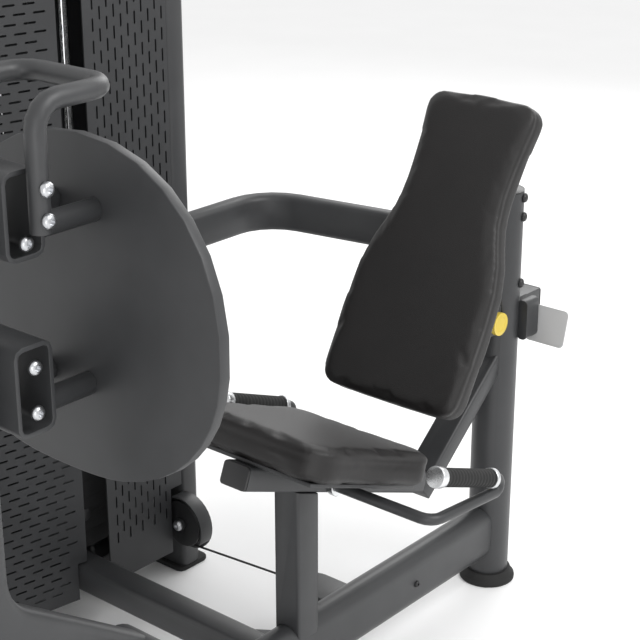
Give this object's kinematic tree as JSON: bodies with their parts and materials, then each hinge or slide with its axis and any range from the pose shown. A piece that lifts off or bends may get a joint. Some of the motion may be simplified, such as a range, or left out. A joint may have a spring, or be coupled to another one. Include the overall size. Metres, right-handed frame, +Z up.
{
  "type": "seated leg press machine",
  "caption": "Seated leg press with a reclined contoured back pad, tilted seat, side grips, a swinging arm with a large foot plate, and a slotted weight tower.",
  "frame": {"origin": "on the floor at the centre of the rear post's round foot", "axes": "+Z up, +Y from the foot plate back to the rear post, +X to the seated user's left"},
  "size_m": [1.075, 1.61, 1.564],
  "materials": {
    "powder_coat": "charcoal powder coat, fine texture",
    "panel_coat": "dark powder coated sheet",
    "vinyl": "black upholstery vinyl, satin",
    "rubber": "black rubber, matte",
    "black_plastic": "black nylon",
    "bright_aluminium": "machined aluminium",
    "chrome": "hard chrome",
    "zinc": "zinc plated steel",
    "cast_plate": "black painted weight plate",
    "yellow_plastic": "yellow knob",
    "pale_card": "pale grey card",
    "cable_jacket": "black coated steel cable"
  },
  "bodies": {
    "frame": {"rear_post": "powder_coat", "base_beam": "powder_coat", "front_cross_beam": "powder_coat", "lower_cross_beam": "powder_coat", "seat_rail": "powder_coat", "seat_post": "powder_coat", "seat_plate": "powder_coat", "rear_brace": "powder_coat", "handle_tube_left": "powder_coat", "handle_tube_right": "powder_coat", "slide_sleeve": "powder_coat", "guard_rail": "powder_coat", "tower_rear_upright": "powder_coat", "tower_front_upright": "powder_coat", "tower_base_channel": "powder_coat", "tower_top_beam": "powder_coat", "rear_pulley_guard": "powder_coat", "base_pulley_cover": "powder_coat", "front_pulley_bracket": "powder_coat", "pivot_saddle": "powder_coat", "side_panel_rear": "panel_coat", "side_panel_front": "panel_coat", "tower_shroud": "panel_coat", "seat_pad": "vinyl", "hand_grip_left": "rubber", "hand_grip_right": "rubber", "front_foot_left": "rubber", "front_foot_right": "rubber", "tower_foot": "rubber", "rear_foot": "rubber", "tower_top_cover": "black_plastic", "grip_cap_left": "bright_aluminium", "grip_cap_right": "bright_aluminium", "guide_rod_front": "chrome", "guide_rod_rear": "chrome", "resting_plates": "cast_plate", "placard": "pale_card", "drive_cable": "cable_jacket"},
    "stack": {"selected_plates": "cast_plate", "top_plate": "cast_plate", "selector_rod": "zinc", "stack_cable": "cable_jacket"},
    "pin": {"selector_pin": "black_plastic"},
    "top_front_wheel": {"top_front_pulley": "black_plastic"},
    "top_rear_wheel": {"top_rear_pulley": "black_plastic"},
    "rear_wheel": {"rear_pulley": "black_plastic"},
    "base_wheel": {"base_pulley": "black_plastic"},
    "front_wheel": {"front_pulley": "black_plastic"},
    "arm": {"press_arm": "powder_coat", "arm_hub": "powder_coat", "cable_sector": "powder_coat", "footplate": "powder_coat", "footplate_mat": "rubber", "upper_plate_bracket": "powder_coat", "lower_plate_bracket": "powder_coat", "grab_handle": "powder_coat"},
    "backrest": {"back_pad": "vinyl", "back_plate": "powder_coat", "back_slide_tube": "powder_coat"},
    "lock_pin": {"pop_pin": "yellow_plastic"}
  },
  "joints": [
    {"name": "press_arm_swing", "type": "hinge", "parent": "frame", "child": "arm", "pos_m": [0, -1.06, 0.285], "axis": [1, 0, 0], "range_deg": [0, 34]},
    {"name": "stack_lift", "type": "slide", "parent": "frame", "child": "stack", "axis": [0, 0, 1], "range_m": [0, 0.0895], "deforming": ["stack_cable"]},
    {"name": "selector_pin_pull", "type": "slide", "parent": "stack", "child": "pin", "axis": [1, 0, 0], "range_m": [0, 0.07]},
    {"name": "top_front_pulley_spin", "type": "hinge", "parent": "frame", "child": "top_front_wheel", "pos_m": [-0.62231, -0.62338, 1.42], "axis": [0.9296, -0.3686, 0], "range_deg": [-108.2, 0]},
    {"name": "top_rear_pulley_spin", "type": "hinge", "parent": "frame", "child": "top_rear_wheel", "pos_m": [-0.56569, -0.48062, 1.42], "axis": [0.9296, -0.3686, 0], "range_deg": [-108.2, 0]},
    {"name": "rear_pulley_spin", "type": "hinge", "parent": "frame", "child": "rear_wheel", "pos_m": [-0.5, -0.436, 0.134], "axis": [0, 1, 0], "range_deg": [-108.2, 0]},
    {"name": "base_pulley_spin", "type": "hinge", "parent": "frame", "child": "base_wheel", "pos_m": [-0.102, -0.468, 0.118], "axis": [0, 0, 1], "range_deg": [-161.4, 0]},
    {"name": "front_pulley_spin", "type": "hinge", "parent": "frame", "child": "front_wheel", "pos_m": [-0.07, -1.33, 0.15], "axis": [1, 0, 0], "range_deg": [-161.4, 0]},
    {"name": "backrest_slide", "type": "slide", "parent": "frame", "child": "backrest", "axis": [0, -1, 0], "range_m": [0, 0.07]},
    {"name": "lock_pin_pull", "type": "slide", "parent": "frame", "child": "lock_pin", "axis": [1, 0, 0], "range_m": [0, 0.012], "stiffness_N_per_m": 600}
  ],
  "couplings": [
    {"joint": "stack_lift", "follows": "press_arm_swing", "m_per_rad": 0.15},
    {"joint": "top_front_pulley_spin", "follows": "press_arm_swing", "ratio": -3.125},
    {"joint": "top_rear_pulley_spin", "follows": "press_arm_swing", "ratio": -3.125},
    {"joint": "rear_pulley_spin", "follows": "press_arm_swing", "ratio": -3.125},
    {"joint": "base_pulley_spin", "follows": "press_arm_swing", "ratio": -4.6875},
    {"joint": "front_pulley_spin", "follows": "press_arm_swing", "ratio": -4.6875}
  ]
}
